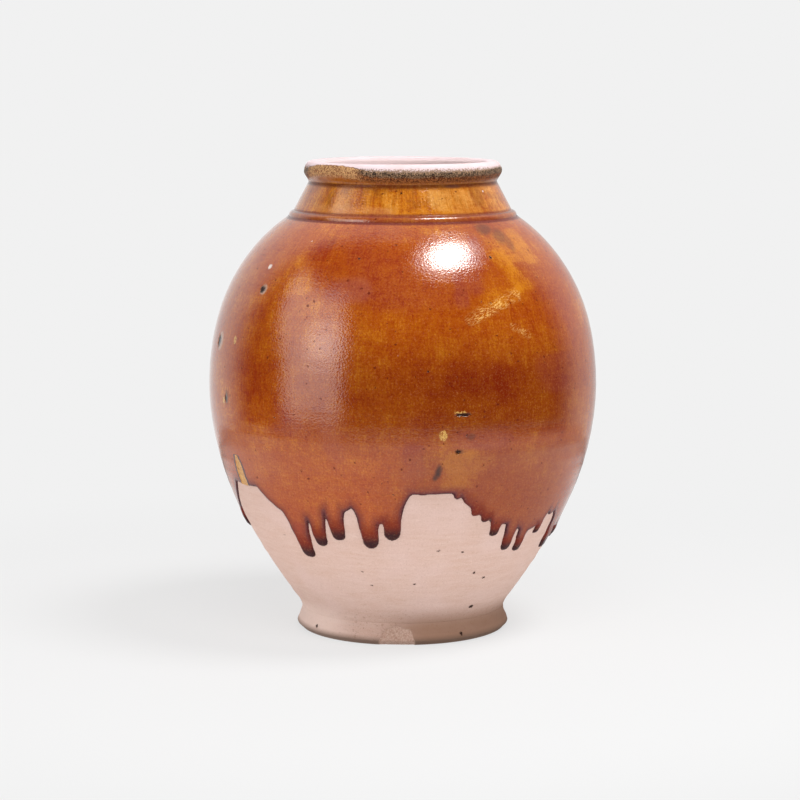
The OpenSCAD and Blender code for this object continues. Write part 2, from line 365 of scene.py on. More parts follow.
def closed_surface(name, grid, material, replaced, fields=None, poles=False):
    """A mesh from a grid of points whose columns go round the axis and whose rows go round
    the section. With poles, the first and last rows are single points on the axis."""
    rows, across = grid.shape[:2]
    index = np.arange(rows * across).reshape(rows, across)
    if poles:
        index[0] = index[0, 0]
        index[-1] = index[-1, 0]
        below = index[:-1]
        above = index[1:]
    else:
        below = index
        above = np.roll(index, -1, 0)
    quads = np.stack([below, np.roll(below, -1, 1), np.roll(above, -1, 1), above], -1)
    quads = quads.reshape(-1, 4)
    used = np.unique(quads)
    renumber = np.zeros(rows * across, int)
    renumber[used] = np.arange(len(used))
    quads = renumber[quads]
    points = grid.reshape(-1, 3)[used]
    faces = quads.tolist()
    if poles:
        faces = [[v for i, v in enumerate(f) if v != f[i - 1]] for f in faces]
    mesh = bpy.data.meshes.new(name)
    mesh.from_pydata(points.tolist(), [], faces)
    for key, values in (fields or {}).items():
        stored = mesh.attributes.new(key, "FLOAT", "POINT")
        flat = np.broadcast_to(values, (rows, across)).reshape(-1)[used]
        stored.data.foreach_set("value", flat.astype(np.float32))
    mesh.polygons.foreach_set("use_smooth", np.ones(len(faces), bool))
    mesh.set_sharp_from_angle(angle=math.radians(38))
    mesh.materials.append(material)
    made = bpy.data.objects.new(name, mesh)
    bpy.context.scene.collection.objects.link(made)
    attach(made, "root")
    for node in replaced:
        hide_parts(node)
    return made


def loop_normals(loop):
    """Unit outward normals of a closed section whose outside climbs."""
    way = np.roll(loop, -1, 0) - np.roll(loop, 1, 0)
    out = np.stack([way[:, 1], -way[:, 0]], 1)
    return out / np.maximum(np.hypot(*out.T), 1e-9)[:, None]


def softened(corners, radius, step):
    """A closed section with its corners rounded: each one is a curve that starts and ends
    that radius away from the corner, at most a third of the way along its sides."""
    corners = np.array(corners, float)
    points = []
    for k, corner in enumerate(corners):
        before = corners[k - 1]
        after = corners[(k + 1) % len(corners)]
        a = towards(corner, before, min(radius, np.hypot(*(before - corner)) / 3))
        b = towards(corner, after, min(radius, np.hypot(*(after - corner)) / 3))
        t = np.linspace(0, 1, 6)[:, None]
        points.append(a * (1 - t) ** 2 + 2 * corner * t * (1 - t) + b * t**2)
    points.append(points[0][:1])
    return respaced(np.concatenate(points), step)[:-1]


# Clay pieces


def stretch(low, high, step):
    """Part of the clay's outside line between two heights."""
    inside = (OUTSIDE[:, 1] > low + 1e-6) & (OUTSIDE[:, 1] < high - 1e-6)
    ends = [[np.interp(h, OUTSIDE[:, 1], OUTSIDE[:, 0]), h] for h in (low, high)]
    return respaced(np.concatenate([ends[:1], OUTSIDE[inside], ends[1:]]), step)


def inner_line(line):
    """The inside of the wall: the outside shifted in by the wall's thickness."""
    return line - WALL * normals(line, 1)


def chip_depth(angle, height):
    """How deep the spall bites: a shallow dome's hollow with a rough broken floor."""
    centre, half, top, deep = CHIP
    across = lateral(angle, centre, FOOT_RADIUS)
    u = across / half
    v = np.maximum(height, 0) / top
    ragged = 0.07 * np.sin(9 * u + 1.3) + 0.05 * np.sin(17 * u + 4 * v) + 0.05 * np.sin(11 * v)
    inside = 1 - u**2 - v**2 + ragged
    spread = np.arctan2(across, height + 6)
    grooves = 0.16 * np.sin(26 * spread + 3 * np.sin(4 * v)) + 0.09 * np.sin(61 * spread + 5 * v)
    grain = 0.10 * np.sin(41 * u + 23 * v) * np.sin(37 * v - 15 * u)
    floor = deep * np.sqrt(np.clip(inside, 0, 1)) ** 0.8
    mask = np.clip(inside / 0.12, 0, 1)
    return mask * (floor + grooves + grain), mask


def foot_ring(material):
    """The flared standing ring with its bevel and spall."""
    corners = [
        (FOOT_HOLLOW_RADIUS, 0), (FOOT_RADIUS - FOOT_BEVEL, 0), (FOOT_RADIUS, FOOT_BEVEL),
        (WAIST_RADIUS, FOOT_HEIGHT), (FLOOR_RADIUS, FOOT_HEIGHT), (FLOOR_RADIUS, FOOT_RECESS),
        (FOOT_HOLLOW_RADIUS, FOOT_RECESS),
    ]
    loop = softened(corners, 0.45, 0.5)
    angle = columns(620, 160)[None]
    radius = loop[:, :1]
    height = loop[:, 1:]
    normal = loop_normals(loop)
    outer = np.clip((radius - 60) / 5, 0, 1) * (height < FOOT_HEIGHT - 0.05)
    bite, mask = chip_depth(angle, height)
    shift = outer * waves(angle, height, 11, 8, 7, 2, 0.05)
    shift = shift * (height > 0.4) + 0.06 * np.sin(3 * angle + 1) * outer * (height > 0.4)
    shift = shift + 1.1 * np.exp(-(((height - FOOT_HEIGHT) / 2.6) ** 2)) * outer
    grid = placed(
        radius + normal[:, :1] * shift - outer * bite, height + normal[:, 1:] * shift, angle
    )
    closed_surface("foot", grid, material, ["foot_ring"], {"chip": mask * outer})


def floor_disc(material):
    """The floor slab, with the spiral left by the thrower's finger on top."""
    half = np.concatenate([np.linspace(0, FLOOR_RADIUS - 0.6, 50), [FLOOR_RADIUS]])
    top = FOOT_RECESS + (FOOT_HEIGHT - FOOT_RECESS)
    under = np.stack([half, np.full(len(half), FOOT_RECESS)], 1)
    over = np.stack([half[::-1], np.full(len(half), top)], 1)
    loop = np.concatenate([under, over])
    angle = np.linspace(0, 2 * math.pi, 180, endpoint=False)[None]
    radius = loop[:, :1]
    fade = np.clip((52 - radius) / 6, 0, 1) * np.clip(radius / 4, 0, 1) * (loop[:, 1:] > 10)
    rise = fade * 0.35 * np.sin(2 * math.pi * radius / 7.5 - angle)
    grid = placed(radius, loop[:, 1:] + rise, angle)
    closed_surface("floor", grid, material, ["floor_disc"], poles=True)


def inner_rings(angle, height):
    """The throwing rings inside: one broad spiral and finer ones over it."""
    broad = 0.42 * np.sin(2 * math.pi * height / 9.5 - angle + 0.9 * np.sin(height / 31))
    return broad + waves(angle, height, 23, 8, 9, 2.5, 0.07)


def turned_wall(name, outside, inside, low_caps, material, node, step):
    """A closed wall from its outside and inside lines, both given upwards."""
    caps_low, caps_high = low_caps
    parts = [outside, caps_high, inside[::-1], caps_low]
    loop = np.concatenate([p for p in parts if len(p)])
    angle = columns(*step)[None]
    height = loop[:, 1:]
    normal = loop_normals(loop)
    tag = np.zeros(len(loop))
    tag[: len(outside)] = 1
    start = len(outside) + len(caps_high)
    tag[start : start + len(inside)] = -1
    outer = (tag > 0)[:, None]
    inner = (tag < 0)[:, None]
    soft = np.clip((height - height[inner].min() - 1) / 5, 0, 1)
    soft = soft * np.clip((height[inner].max() - height - 1) / 5, 0, 1)
    shift = np.where(outer, clay_relief(angle, height), 0)
    shift = shift + np.where(inner, soft * inner_rings(angle, height), 0)
    grid = placed(loop[:, :1] + normal[:, :1] * shift, height + normal[:, 1:] * shift, angle)
    closed_surface(name, grid, material, [node])


def lower_wall(material):
    """The lower half of the body, keyed to the upper half by a V."""
    line = stretch(FOOT_HEIGHT, BELLY[1], 1.0)
    coarse = stretch(FOOT_HEIGHT, BELLY[1], 2.4)
    key = np.array([[BELLY[0] - WALL / 2, BELLY[1] - 3]])
    base = np.array([[WAIST_RADIUS - BASE_WIDTH, FOOT_HEIGHT]])
    inside = inner_line(coarse)[2:]
    turned_wall("lower_body", line, inside, (base, key), material, "lower_wall", (280, 110))


def upper_wall(material):
    """The upper half of the body with the shoulder."""
    line = stretch(BELLY[1], SHOULDER[1], 1.6)
    inside = inner_line(stretch(BELLY[1], SHOULDER[1], 1.6))
    key = np.array([[BELLY[0] - WALL / 2, BELLY[1] - 3]])
    none = np.zeros((0, 2))
    turned_wall("upper_body", line, inside, (key, none), material, "upper_wall", (280, 130))


def neck_pieces(material, lip_material):
    """The bead, the collar and the lip, each a closed turned section."""
    angle = columns(300, 120)[None]
    bead = np.concatenate([bead_curve()[::6], [NECK_FOOT]])
    inner = inner_line(stretch(BELLY[1], SHOULDER[1], 1.6))[-1]
    collar = softened(
        [
            inner, SHOULDER, NECK_FOOT, NECK_TOP, (NECK_TOP[0] - NECK_WALL, NECK_TOP[1]),
            (NECK_FOOT[0] - NECK_WALL, NECK_FOOT[1]),
        ],
        0.2,
        0.9,
    )
    grid = placed(bead[:, :1], bead[:, 1:], angle)
    closed_surface("neck_coil", grid, material, ["neck_bead"])
    grid = placed(collar[:, :1], collar[:, 1:], angle)
    closed_surface("neck", grid, material, ["neck_collar"])
    turn = np.linspace(math.pi / 2, math.pi, 14)
    edge = np.stack(
        [
            MOUTH_RADIUS + MOUTH_ROUND * (1 + np.cos(turn)),
            TOP - MOUTH_ROUND * (1 - np.sin(turn)),
        ],
        1,
    )
    bore = np.stack([np.full(14, MOUTH_RADIUS), np.linspace(TOP - 3.2, NECK_TOP[1], 14)], 1)
    base = np.stack([np.linspace(MOUTH_RADIUS + 1, NECK_TOP[0] - 0.5, 8), np.full(8, NECK_TOP[1])], 1)
    loop = np.concatenate([respaced(lip_curve(), 0.45), edge, bore, base])
    height = loop[:, 1:]
    normal = loop_normals(loop)
    soft = np.clip((height - 294) / 4, 0, 1)
    shift = soft * (waves(angle, height + loop[:, :1], 31, 8, 11, 3, 0.05))
    shift = shift + soft * 0.12 * np.sin(2 * angle + 0.6) * (height > 300)
    grid = placed(loop[:, :1] + normal[:, :1] * shift, height + normal[:, 1:] * shift, angle)
    closed_surface("lip", grid, lip_material, ["lip_roll"])


# Glaze pieces


def coat(name, low, high, count, across, thickness_of, material, base=None):
    """A skin of glaze between two heights: an outer sheet at its own thickness over the clay,
    closed by an inner sheet hidden in the clay."""
    way = np.linspace(way_at(low), way_at(high), int(count * DENSITY))
    angle = columns(*across)[None]
    radius, height, normal = outline_at(way)
    relief = clay_relief(angle, height)
    thickness, fields = thickness_of(angle, height, radius, way[:, None])
    fields.update(patch_fields(angle, height, radius))
    lift = relief + thickness
    back_way = way[:: max(1, len(way) // 7)][::-1]
    back_radius, back_height, back_normal = outline_at(back_way)
    back_lift = np.full((len(back_way), angle.shape[1]), -DIP - 0.25)
    radius = np.concatenate([radius, back_radius])
    height = np.concatenate([height, back_height])
    normal = np.concatenate([normal, back_normal])
    lift = np.concatenate([lift, back_lift])
    grid = placed(radius + normal[:, :1] * lift, height + normal[:, 1:] * lift, angle)
    padded = {}
    for key, values in fields.items():
        values = np.broadcast_to(values, relief.shape)
        padded[key] = np.concatenate([values, np.repeat(values[-1:], len(back_way), 0)])
    closed_surface(name, grid, material, ["glaze_coat"], padded)


def outline_at(way):
    """Radius, height and normal of the softened outside line, as columns."""
    radius = np.interp(way, OUT_WAY, SOFT_OUTSIDE[:, 0])[:, None]
    height = np.interp(way, OUT_WAY, SOFT_OUTSIDE[:, 1])[:, None]
    normal = np.stack([np.interp(way, OUT_WAY, OUT_NORMAL[:, k]) for k in (0, 1)], 1)
    return radius, height, normal / np.hypot(*normal.T)[:, None]


def thin_window(angle, height, radius):
    """Where the glaze is so thin that it stays yellow: a sliver at the left bay's top."""
    along = np.clip((119.5 - height) / 17, 0, 1)
    across = lateral(angle, -60.5 + 0.8 * along, radius) + 0.3 * np.sin(height / 1.9)
    half = 1.6 + 5.4 * np.sqrt(along) - 2.8 * along
    found = np.clip(half - abs(across), -6, 3)
    return np.where((height > 96) & (height < 122), found, -6.0)


def skirt_thickness(angle, height, radius, way):
    """The glaze near its lower edge: thin at first, with thick rounded tips on the runs."""
    inside, bulb, tips = skirt_fields(angle, height, radius)
    rim = np.exp(-((np.maximum(inside, 0) - 1.3) ** 2) / 1.2)
    full = COAT + 0.9 * bulb + 0.15 * rim
    thick = edge_profile(inside, 1.2 + 1.7 * bulb, full)
    thin = thin_window(angle, height, radius)
    thick = np.where(inside > 0, thick * (1 - 0.55 * np.clip(thin / 0.8, 0, 1)), thick)
    return thick, {"inside": np.clip(inside, -3, 14), "tip": tips, "thin": thin}


def body_thickness(angle, height, radius, way):
    """The glaze over the body, an even coat."""
    inside = np.full(np.broadcast(angle, height).shape, 14.0)
    thin = thin_window(angle, height, radius)
    return np.full(inside.shape, COAT), {"inside": inside, "tip": 0.0 * inside, "thin": thin}


def smooth_step(share):
    """From 0 to 1 with level ends: 3s^2 - 2s^3 of the share clipped to 0 and 1."""
    share = np.clip(share, 0, 1)
    return share * share * (3 - 2 * share)


def patch_fields(angle, height, radius):
    """Tone and haze of the glaze's patches, whose outlines are bent by slow waves."""
    bend = waves(7 * angle, height, 41, 7, 60, 9, 5.0)
    lean = waves(5 * angle, height, 43, 7, 50, 9, 4.0)
    tone = np.zeros(np.broadcast(angle, height).shape)
    haze = np.zeros_like(tone)
    for centre, level, half_width, half_height, toned, hazed in PATCHES:
        u = (lateral(angle, centre, radius) + bend * min(1, half_width / 20)) / half_width
        v = (height - level + lean * min(1, half_height / 14)) / half_height
        near = smooth_step((1.45 - (abs(u) ** 3 + abs(v) ** 3) ** (1 / 3)) / 0.85)
        tone = tone + toned * near
        haze = haze + hazed * near
    smoke = np.zeros_like(tone)
    for centre, level, half_width, half_height, strength in SMOKE:
        u = (lateral(angle, centre, radius) + 0.15 * bend) / half_width
        v = (height - level + 0.15 * lean) / half_height
        smoke = np.maximum(smoke, strength * smooth_step(1.6 - np.hypot(u, v)))
    scratch = np.zeros_like(tone)
    for start, low, end, high, half in SCRATCHES:
        across = lateral(angle, start, radius)
        reach = radius * math.sin(math.radians(end - start))
        share = (across * reach + (height - low) * (high - low)) / (reach**2 + (high - low) ** 2)
        share = np.clip(share, 0, 1)
        away = np.hypot(across - share * reach, height - low - share * (high - low))
        scratch = np.maximum(scratch, smooth_step(1.5 - away / half))
    return {"tone": tone, "haze": np.clip(haze, 0, 1), "smoke": smoke, "scratch": scratch}


def neck_thickness(angle, height, radius, way):
    """The glaze over the neck and lip, up to its ragged wiped edge."""
    table = np.array(LIP_EDGE, float)
    turn = (np.degrees(angle) + 180) % 360 - 180
    edge = way_at(np.interp(turn, table[:, 0], table[:, 1]))
    ragged = 0.30 * np.sin(19 * angle + 3 * np.sin(5 * angle)) + 0.2 * np.sin(47 * angle + 1.2)
    ragged = ragged + 0.25 * np.sin(91 * angle + 2 * np.sin(13 * angle))
    inside = edge + 0.6 * ragged - way
    thick = edge_profile(inside, 2.4, 0.75 * COAT)
    lobe = smooth_step((np.interp(turn, table[:, 0], table[:, 1]) - 301.2) / 1.6)
    return thick, {
        "inside": np.clip(inside, -3, 14), "tip": 0.0 * inside, "thin": 0.0 * inside - 6,
        "lobe": lobe + 0.0 * inside,
    }


def glaze(material):
    """The coat of glaze in three rings: the skirt with its runs, the body, the neck and lip."""
    coat("glaze_skirt", SKIRT_LOW, SKIRT_TOP, 84, (800, 250), skirt_thickness, material)
    coat("glaze_body", SKIRT_TOP, BODY_TOP, 138, (520, 150), body_thickness, material)
    coat("glaze_neck", BODY_TOP, TOP - 0.05, 110, (600, 190), neck_thickness, material)


# Shader nodes


class Shader:
    """A material whose nodes are added one by one; a value is a number, a colour or a socket."""

    def __init__(self, name):
        self.material = bpy.data.materials.new(name)
        self.material.use_nodes = True
        self.tree = self.material.node_tree
        self.tree.nodes.clear()

    def node(self, kind, inputs=(), **settings):
        made = self.tree.nodes.new(kind)
        for key, value in settings.items():
            setattr(made, key, value)
        for key, value in dict(inputs).items():
            if isinstance(value, bpy.types.NodeSocket):
                self.tree.links.new(value, made.inputs[key])
            else:
                made.inputs[key].default_value = value
        return made

    def math(self, operation, a, b=0.0, c=0.0, clamp=False):
        made = self.node("ShaderNodeMath", {0: a, 1: b, 2: c}, operation=operation)
        made.use_clamp = clamp
        return made.outputs[0]

    def vector(self, operation, a, b=(0, 0, 0)):
        made = self.node("ShaderNodeVectorMath", {0: a, 1: b}, operation=operation)
        return made.outputs["Value" if operation in ("LENGTH", "DISTANCE", "DOT_PRODUCT") else 0]

    def mix(self, share, a, b, blend="MIX"):
        made = self.node("ShaderNodeMix", data_type="RGBA", blend_type=blend)
        for key, value in ((0, share), (6, a), (7, b)):
            if isinstance(value, bpy.types.NodeSocket):
                self.tree.links.new(value, made.inputs[key])
            elif key == 0:
                made.inputs[0].default_value = value
            else:
                made.inputs[key].default_value = (*value, 1) if len(value) == 3 else value
        return made.outputs[2]

    def fade(self, value, low, high, out_low=0.0, out_high=1.0):
        made = self.node(
            "ShaderNodeMapRange",
            {0: value, 1: low, 2: high, 3: out_low, 4: out_high},
            interpolation_type="SMOOTHSTEP",
        )
        return made.outputs[0]

    def noise(self, vector, scale=1.0, detail=3.0, roughness=0.5, distortion=0.0):
        made = self.node(
            "ShaderNodeTexNoise",
            {
                "Vector": vector, "Scale": scale, "Detail": detail, "Roughness": roughness,
                "Distortion": distortion,
            },
        )
        return made.outputs[0]

    def attribute(self, name):
        made = self.node("ShaderNodeAttribute", attribute_type="GEOMETRY", attribute_name=name)
        return made.outputs["Fac"]

    def combine(self, x, y, z):
        return self.node("ShaderNodeCombineXYZ", {0: x, 1: y, 2: z}).outputs[0]

    def bump(self, height, distance, strength=1.0, normal=None):
        inputs = {"Height": height, "Distance": distance, "Strength": strength}
        if normal is not None:
            inputs["Normal"] = normal
        return self.node("ShaderNodeBump", inputs).outputs[0]

    def finish(self, shader):
        out = self.node("ShaderNodeOutputMaterial", {"Surface": shader})
        return self.material if out else None


def jar_coordinates(shader):
    """Object position in millimetres, its parts, the distance from the axis and the sine and
    cosine of the angle round the jar."""
    position = shader.node("ShaderNodeTexCoord").outputs["Object"]
    position = shader.vector("MULTIPLY", position, (1000, 1000, 1000))
    parts = shader.node("ShaderNodeSeparateXYZ", {0: position}).outputs
    x, y, z = parts[0], parts[1], parts[2]
    radius = shader.math("MAXIMUM", shader.math("SQRT", shader.math(
        "ADD", shader.math("MULTIPLY", x, x), shader.math("MULTIPLY", y, y))), 1.0)
    return position, z, shader.math("DIVIDE", x, radius), shader.math("DIVIDE", y, radius)


def spots(shader, position, places):
    """How far each point lies inside the nearest of some marks: 1 at a mark's centre, 0 at
    its edge and beyond. A place is an angle, a height, a radius out, a size, and how much
    flatter than it is wide."""
    found = None
    for angle, height, out, size, flat in places:
        turn = math.radians(angle)
        centre = (out * math.sin(turn), -out * math.cos(turn), height)
        offset = shader.vector("SUBTRACT", position, centre)
        away = shader.vector("LENGTH", shader.vector("MULTIPLY", offset, (1, 1, flat)))
        near = shader.math("SUBTRACT", 1.0, shader.math("DIVIDE", away, size), clamp=True)
        found = near if found is None else shader.math("MAXIMUM", found, near)
    return found


# Pits in the bare clay: angle, height, radius out, size, and how much flatter than wide
BARE_PITS = [
    (-16.3, 51.2, 91.2, 1.4, 1), (-13.5, 41.9, 85.3, 1.4, 1.2), (4.9, 43.1, 86.1, 1.7, 1.3),
    (8.9, 49.6, 90.2, 1.3, 2), (30.3, 48.8, 89.7, 2.0, 1.4), (36.4, 44.4, 86.9, 1.9, 2),
    (37.7, 23.0, 72.1, 2.6, 1.5), (-54.8, 6.3, 68.0, 1.5, 1), (33.2, 5.4, 68.4, 1.6, 1),
    (12.9, 67.0, 101.0, 2.2, 1.6), (22.4, 65.0, 99.5, 1.8, 2.5), (-47.1, 72.1, 103.3, 2.0, 2.5),
    (-9.5, 47.0, 88.6, 1.3, 2), (26.0, 74.0, 105.0, 1.4, 2), (14.0, 76.0, 105.8, 1.4, 3),
]


def position_out(shader, position):
    """Distance from the jar's axis."""
    return shader.vector("LENGTH", shader.vector("MULTIPLY", position, (1, 1, 0)))


def warped(s, position):
    """The position pushed about by noise, so that round marks get ragged outlines."""
    noise = s.node("ShaderNodeTexNoise", {"Vector": position, "Scale": 0.8, "Detail": 2.0})
    push = s.vector("SUBTRACT", noise.outputs["Color"], (0.5, 0.5, 0.5))
    return s.vector("ADD", position, s.vector("MULTIPLY", push, (2.2, 2.2, 2.2)))


def clay_material():
    """Bare stoneware: pinkish buff with grain, faint rings and a few open pits; on the foot, painted shade on its
    right side and along its bottom and painted light on its left side.
    """
    s = Shader("bare_clay")
    position, z, sine, cosine = jar_coordinates(s)
    around = s.combine(s.math("MULTIPLY", sine, 6.0), s.math("MULTIPLY", cosine, 6.0),
                       s.math("MULTIPLY", z, 0.55))
    rings = s.noise(around, 1.0, 3.0, 0.6)
    cloud = s.noise(position, 0.035, 2.0, 0.5)
    grain = s.noise(position, 1.1, 2.0, 0.8)
    grit = s.noise(position, 0.45, 2.0, 0.8)
    fine_rings = s.noise(s.combine(s.math("MULTIPLY", sine, 5.0), s.math("MULTIPLY", cosine, 5.0),
                                   s.math("MULTIPLY", z, 1.1)), 1.0, 2.0, 0.6)
    colour = s.mix(s.fade(rings, 0.3, 0.7), (0.62, 0.435, 0.37), (0.59, 0.395, 0.325))
    colour = s.mix(s.fade(cloud, 0.4, 0.7, 0.0, 0.6), colour, (0.645, 0.46, 0.41))
    colour = s.mix(s.fade(fine_rings, 0.56, 0.74, 0.0, 0.2), colour, (0.49, 0.32, 0.25))
    colour = s.mix(s.fade(grain, 0.55, 0.70, 0.0, 0.30), colour, (0.40, 0.26, 0.20))
    colour = s.mix(s.fade(grain, 0.46, 0.30, 0.0, 0.25), colour, (0.82, 0.66, 0.58))
    colour = s.mix(s.fade(grit, 0.60, 0.72, 0.0, 0.25), colour, (0.42, 0.26, 0.19))
    # Painted shade: the low clay is darkened, a little all round and most on the foot's right side, which the
    # overhanging body keeps out of the light; the dark grit below is the clay's own.
    right = s.fade(sine, -0.45, 0.25)
    low = s.fade(z, 27.0, 10.0)
    foot = s.math("MULTIPLY", low, s.math("MULTIPLY_ADD", right, 0.78, 0.10))
    foot = s.math("MULTIPLY", foot, s.math("MULTIPLY_ADD", cloud, 0.5, 0.75))
    gritty = s.math("MULTIPLY", low, s.fade(grit, 0.56, 0.66, 0.0, 0.35))
    colour = s.mix(gritty, colour, (0.24, 0.13, 0.085))
    colour = s.mix(foot, colour, (0.30, 0.165, 0.105))
    # Painted light: the low clay on the foot's left side is made paler, as if lit from the left.
    pale = s.math("MULTIPLY", low, s.fade(sine, -0.40, -0.80, 0.0, 0.75))
    colour = s.mix(pale, colour, (0.86, 0.66, 0.58))
    # Painted shade, with a little grime: the clay darkens towards the floor along the foot's bevel.
    colour = s.mix(s.fade(z, 6.5, 2.2, 0.0, 0.85), colour, (0.17, 0.105, 0.075))
    chip = s.attribute("chip")
    rough = s.noise(position, 0.9, 4.0, 0.7)
    broken = s.mix(s.fade(rough, 0.35, 0.65), (0.60, 0.42, 0.34), (0.42, 0.25, 0.19))
    colour = s.mix(chip, colour, broken)
    pits = spots(s, warped(s, position), BARE_PITS)
    colour = s.mix(s.fade(pits, 0.12, 0.45), colour, (0.045, 0.020, 0.014))
    height = s.math("MULTIPLY_ADD", rings, 0.03, s.math("MULTIPLY", grain, 0.11))
    height = s.math("MULTIPLY_ADD", fine_rings, 0.025, height)
    height = s.math("SUBTRACT", height, s.math("MULTIPLY", s.fade(pits, 0.0, 0.6), 0.7))
    height = s.math("ADD", height, s.math("MULTIPLY", s.math("MULTIPLY", rough, chip), 0.5))
    normal = s.bump(height, MM)
    principled = s.node(
        "ShaderNodeBsdfPrincipled",
        {"Base Color": colour, "Roughness": 0.85, "IOR": 1.4, "Normal": normal},
    )
    principled.inputs["Specular IOR Level"].default_value = 0.3
    return s.finish(principled.outputs[0])


def lip_material():
    """Pale pink stoneware, wiped clean, with a little grain and painted light just inside the mouth."""
    s = Shader("lip_clay")
    position, z, sine, cosine = jar_coordinates(s)
    grain = s.noise(position, 1.2, 3.0, 0.7)
    cloud = s.noise(position, 0.06, 2.0, 0.5)
    colour = s.mix(s.fade(cloud, 0.35, 0.7), (0.74, 0.60, 0.62), (0.72, 0.55, 0.55))
    # Painted light: the inside of the mouth just under the land is made paler, as if lit from the front and above.
    inner = s.math("MULTIPLY", s.fade(z, 304.6, 302.5), s.fade(position_out(s, position), 56, 54))
    colour = s.mix(inner, colour, (0.92, 0.73, 0.72))
    colour = s.mix(s.fade(grain, 0.6, 0.8, 0.0, 0.25), colour, (0.60, 0.42, 0.36))
    dusted = s.math("MULTIPLY_ADD", s.math("SUBTRACT", grain, 0.5), 9.0, z)
    near_edge = s.math("MULTIPLY", s.fade(dusted, 302.9, 300.9), s.fade(z, 303.6, 302.2))
    outer = s.fade(position_out(s, position), 58, 61)
    colour = s.mix(s.math("MULTIPLY", near_edge, outer), colour, (0.27, 0.17, 0.11))
    normal = s.bump(grain, 0.12 * MM)
    principled = s.node(
        "ShaderNodeBsdfPrincipled",
        {"Base Color": colour, "Roughness": 0.9, "IOR": 1.4, "Normal": normal},
    )
    return s.finish(principled.outputs[0])


# Marks in the glaze: angle, height, radius out, size, and how much flatter than it is wide
DARK_PITS = [
    (-52.1, 228.3, 112.0, 3.7, 1.0), (-44.2, 207.3, 120.5, 1.0, 2.0), (-34.1, 232.6, 109.4, 0.8, 1),
    (25.0, 223.9, 114.1, 1.2, 1.2), (39.3, 223.7, 114.3, 1.1, 1), (-16.1, 249.5, 97.5, 1.3, 1.5),
    (16.9, 156.0, 127.0, 6.6, 5), (15.8, 133.0, 124.8, 2.4, 1.4), (-71.2, 193.0, 125.3, 5.2, 0.8),
    (-62.3, 158.0, 127.0, 2.4, 0.7), (10.7, 140.6, 125.9, 1.1, 1), (18.2, 143.5, 126.0, 1.0, 1),
    (-1.0, 287.6, 63.4, 0.7, 1), (-18.0, 118.0, 121.5, 0.8, 1), (-39.0, 151.0, 126.6, 1.3, 2.2),
    (2.6, 158.0, 127.0, 0.9, 1), (34.0, 249.0, 97.4, 1.0, 0.8), (52.0, 236.0, 107.0, 0.7, 1),
    (-7.0, 205.0, 121.0, 0.7, 1), (-3.0, 199.0, 122.6, 0.8, 1), (7.0, 183.0, 125.4, 0.8, 1),
    (-2.8, 106.0, 117.9, 1.1, 2.5), (-9.4, 121.0, 122.0, 0.8, 1), (62.0, 180.0, 125.8, 0.9, 1),
]
PALE_MARKS = [
    (-53.9, 241.8, 103.5, 2.4, 1), (41.4, 185.8, 125.3, 1.0, 3), (44.4, 187.1, 125.1, 0.9, 1.6),
    (58.2, 186.2, 125.2, 0.8, 0.5), (53.3, 287.4, 63.5, 0.8, 1), (-39.9, 258.0, 89.0, 1.0, 2),
    (-1.5, 193.4, 123.8, 0.8, 0.6),
]
CHIPPED_RIMS = [(-51.6, 228.5, 112.0, 4.4, 0.9), (-70.2, 193.6, 125.4, 6.4, 0.75)]
YELLOW_MARKS = [
    (-59.3, 195.6, 123.4, 2.6, 0.7), (11.3, 143.2, 126.0, 3.4, 0.8), (-64.0, 156.0, 127.0, 2.4, 0.6),
    (16.2, 157.6, 127.0, 5.0, 6),
]


def glaze_weave(s, position, sine, cosine, z):
    """The brush's fine upright streaks and level bands, broken up by grain."""
    upright = s.combine(s.math("MULTIPLY", sine, 95.0), s.math("MULTIPLY", cosine, 95.0),
                        s.math("MULTIPLY", z, 0.11))
    wide = s.combine(s.math("MULTIPLY", sine, 24.0), s.math("MULTIPLY", cosine, 24.0),
                     s.math("MULTIPLY", z, 0.022))
    level = s.combine(s.math("MULTIPLY", sine, 9.0), s.math("MULTIPLY", cosine, 9.0),
                      s.math("MULTIPLY", z, 0.95))
    streaks = s.noise(upright, 1.0, 2.0, 0.6)
    wide_streaks = s.noise(wide, 1.0, 3.0, 0.6)
    bands = s.noise(level, 1.0, 2.0, 0.6)
    grain = s.noise(s.vector("MULTIPLY", position, (0.85, 0.85, 0.60)), 1.0, 3.0, 0.85)
    lines = s.math("ADD", s.math("MULTIPLY", streaks, 0.30), s.math("MULTIPLY", bands, 0.24))
    coarse = s.math("MULTIPLY_ADD", wide_streaks, 0.24, s.math("MULTIPLY", grain, 0.80))
    neck = s.math("MULTIPLY", s.fade(z, 270, 276), s.math("SUBTRACT", wide_streaks, 0.5))
    coarse = s.math("MULTIPLY_ADD", neck, 0.45, s.math("SUBTRACT", coarse, 0.29))
    return s.math("ADD", lines, coarse), streaks, bands, grain


def glaze_tone(s, position, z, weave):
    """How yellow the glaze is, from 0 (red-brown) to 1 (yellow amber)."""
    cloud = s.noise(position, 0.026, 3.0, 0.55, 0.5)
    medium = s.noise(position, 0.13, 3.0, 0.6, 0.3)
    tone = s.math("MULTIPLY_ADD", s.math("SUBTRACT", cloud, 0.5), 1.1, 0.5)
    tone = s.math("MULTIPLY_ADD", s.math("SUBTRACT", medium, 0.5), 0.8, tone)
    tone = s.math("MULTIPLY_ADD", s.math("SUBTRACT", weave, 0.5), 1.9, tone)
    tone = s.math("ADD", tone, s.attribute("tone"))
    return s.math("MULTIPLY_ADD", s.fade(z, 268, 276), 0.36, tone), cloud, medium


def glaze_colour(s, tone):
    """The glaze's colour for a tone, through red-brown, amber and yellow amber."""
    colour = s.mix(s.fade(tone, -0.1, 0.55), (0.29, 0.028, 0.003), (0.415, 0.078, 0.003))
    return s.mix(s.fade(tone, 0.45, 1.25), colour, (0.66, 0.225, 0.010))


